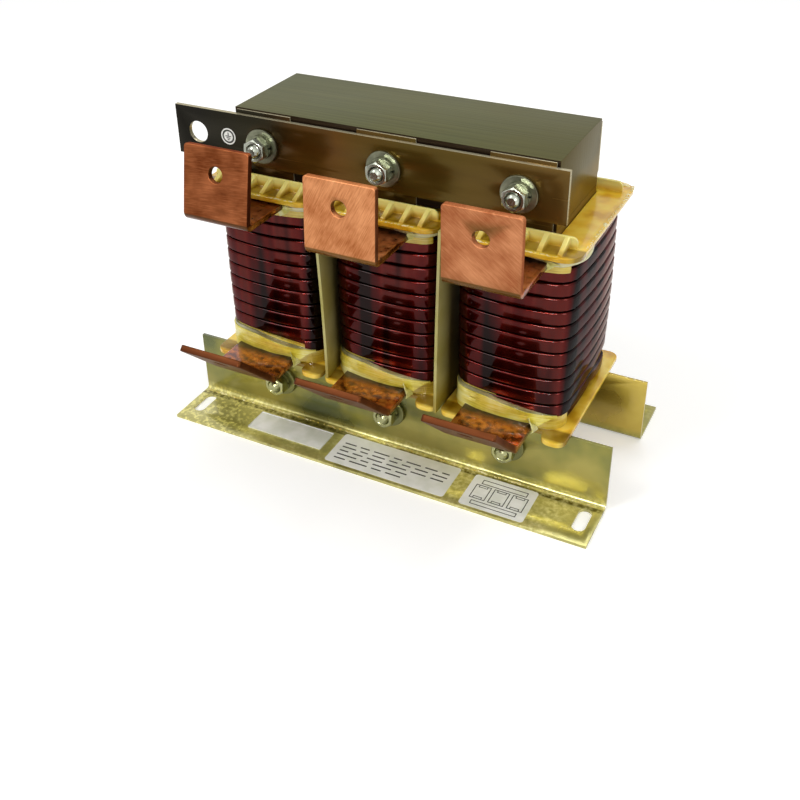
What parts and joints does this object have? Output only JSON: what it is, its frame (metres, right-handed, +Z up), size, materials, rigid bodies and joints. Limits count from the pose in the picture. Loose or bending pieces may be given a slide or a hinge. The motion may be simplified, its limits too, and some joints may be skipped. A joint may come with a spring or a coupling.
{
  "type": "line reactor",
  "caption": "Line reactor with a gapped laminated core, enamelled flat-wire windings, bent copper terminals with holes, and slotted folded-steel feet.",
  "frame": {"origin": "centre of the footprint, on the plane under the feet", "axes": "+X along the yokes, towards the shorter end of the front bar; +Y towards the back, away from the terminals; +Z up"},
  "size_m": [0.4282, 0.2708, 0.3176],
  "materials": {
    "core_steel": "varnished stack of silicon steel laminations",
    "tie_steel": "thin varnished steel strip",
    "bar_steel": "dark varnished steel bar, half gloss",
    "bracket_steel": "yellow-green passivated sheet steel under varnish",
    "zinc_steel": "bright zinc plate",
    "wire_enamel": "dark red enamelled flat copper wire, glossy",
    "bare_copper": "brushed copper bar with varnish towards its root",
    "frame_plastic": "yellow moulded plastic, soaked in clear varnish",
    "former_board": "glass-fibre board",
    "barrier_board": "cream insulating sheet under varnish",
    "glass_tape": "woven glass tape and filler, varnished",
    "gap_board": "glass-fibre board",
    "sleeve_plastic": "insulating tube"
  },
  "bodies": {
    "root": {"bottom_yoke": "core_steel", "top_yoke": "core_steel", "lower_limb_packet_left": "core_steel", "lower_limb_packet_middle": "core_steel", "lower_limb_packet_right": "core_steel", "upper_limb_packet_left": "core_steel", "upper_limb_packet_middle": "core_steel", "upper_limb_packet_right": "core_steel", "air_gap_spacer_left": "gap_board", "air_gap_spacer_middle": "gap_board", "air_gap_spacer_right": "gap_board", "front_tie_plate_left": "tie_steel", "front_tie_plate_middle": "tie_steel", "front_tie_plate_right": "tie_steel", "rear_tie_plate_left": "tie_steel", "rear_tie_plate_middle": "tie_steel", "rear_tie_plate_right": "tie_steel", "upper_front_clamp_bar": "bar_steel", "upper_rear_clamp_bar": "bar_steel", "lower_front_bracket": "bracket_steel", "lower_rear_bracket": "bracket_steel", "clamp_bolts": "zinc_steel", "clamp_nuts": "zinc_steel", "flat_washers": "zinc_steel", "lock_washers": "zinc_steel", "bolt_sleeves": "sleeve_plastic", "coil_former_left": "former_board", "coil_former_middle": "former_board", "coil_former_right": "former_board", "lower_end_frame_left": "frame_plastic", "lower_end_frame_middle": "frame_plastic", "lower_end_frame_right": "frame_plastic", "upper_end_frame_left": "frame_plastic", "upper_end_frame_middle": "frame_plastic", "upper_end_frame_right": "frame_plastic", "winding_left": "wire_enamel", "winding_middle": "wire_enamel", "winding_right": "wire_enamel", "lower_end_insulation_left": "glass_tape", "lower_end_insulation_middle": "glass_tape", "lower_end_insulation_right": "glass_tape", "upper_end_insulation_left": "glass_tape", "upper_end_insulation_middle": "glass_tape", "upper_end_insulation_right": "glass_tape", "upper_terminal_left": "bare_copper", "upper_terminal_middle": "bare_copper", "upper_terminal_right": "bare_copper", "lower_terminal_left": "bare_copper", "lower_terminal_middle": "bare_copper", "lower_terminal_right": "bare_copper", "phase_barrier_left": "barrier_board", "phase_barrier_right": "barrier_board"}
  },
  "joints": []
}
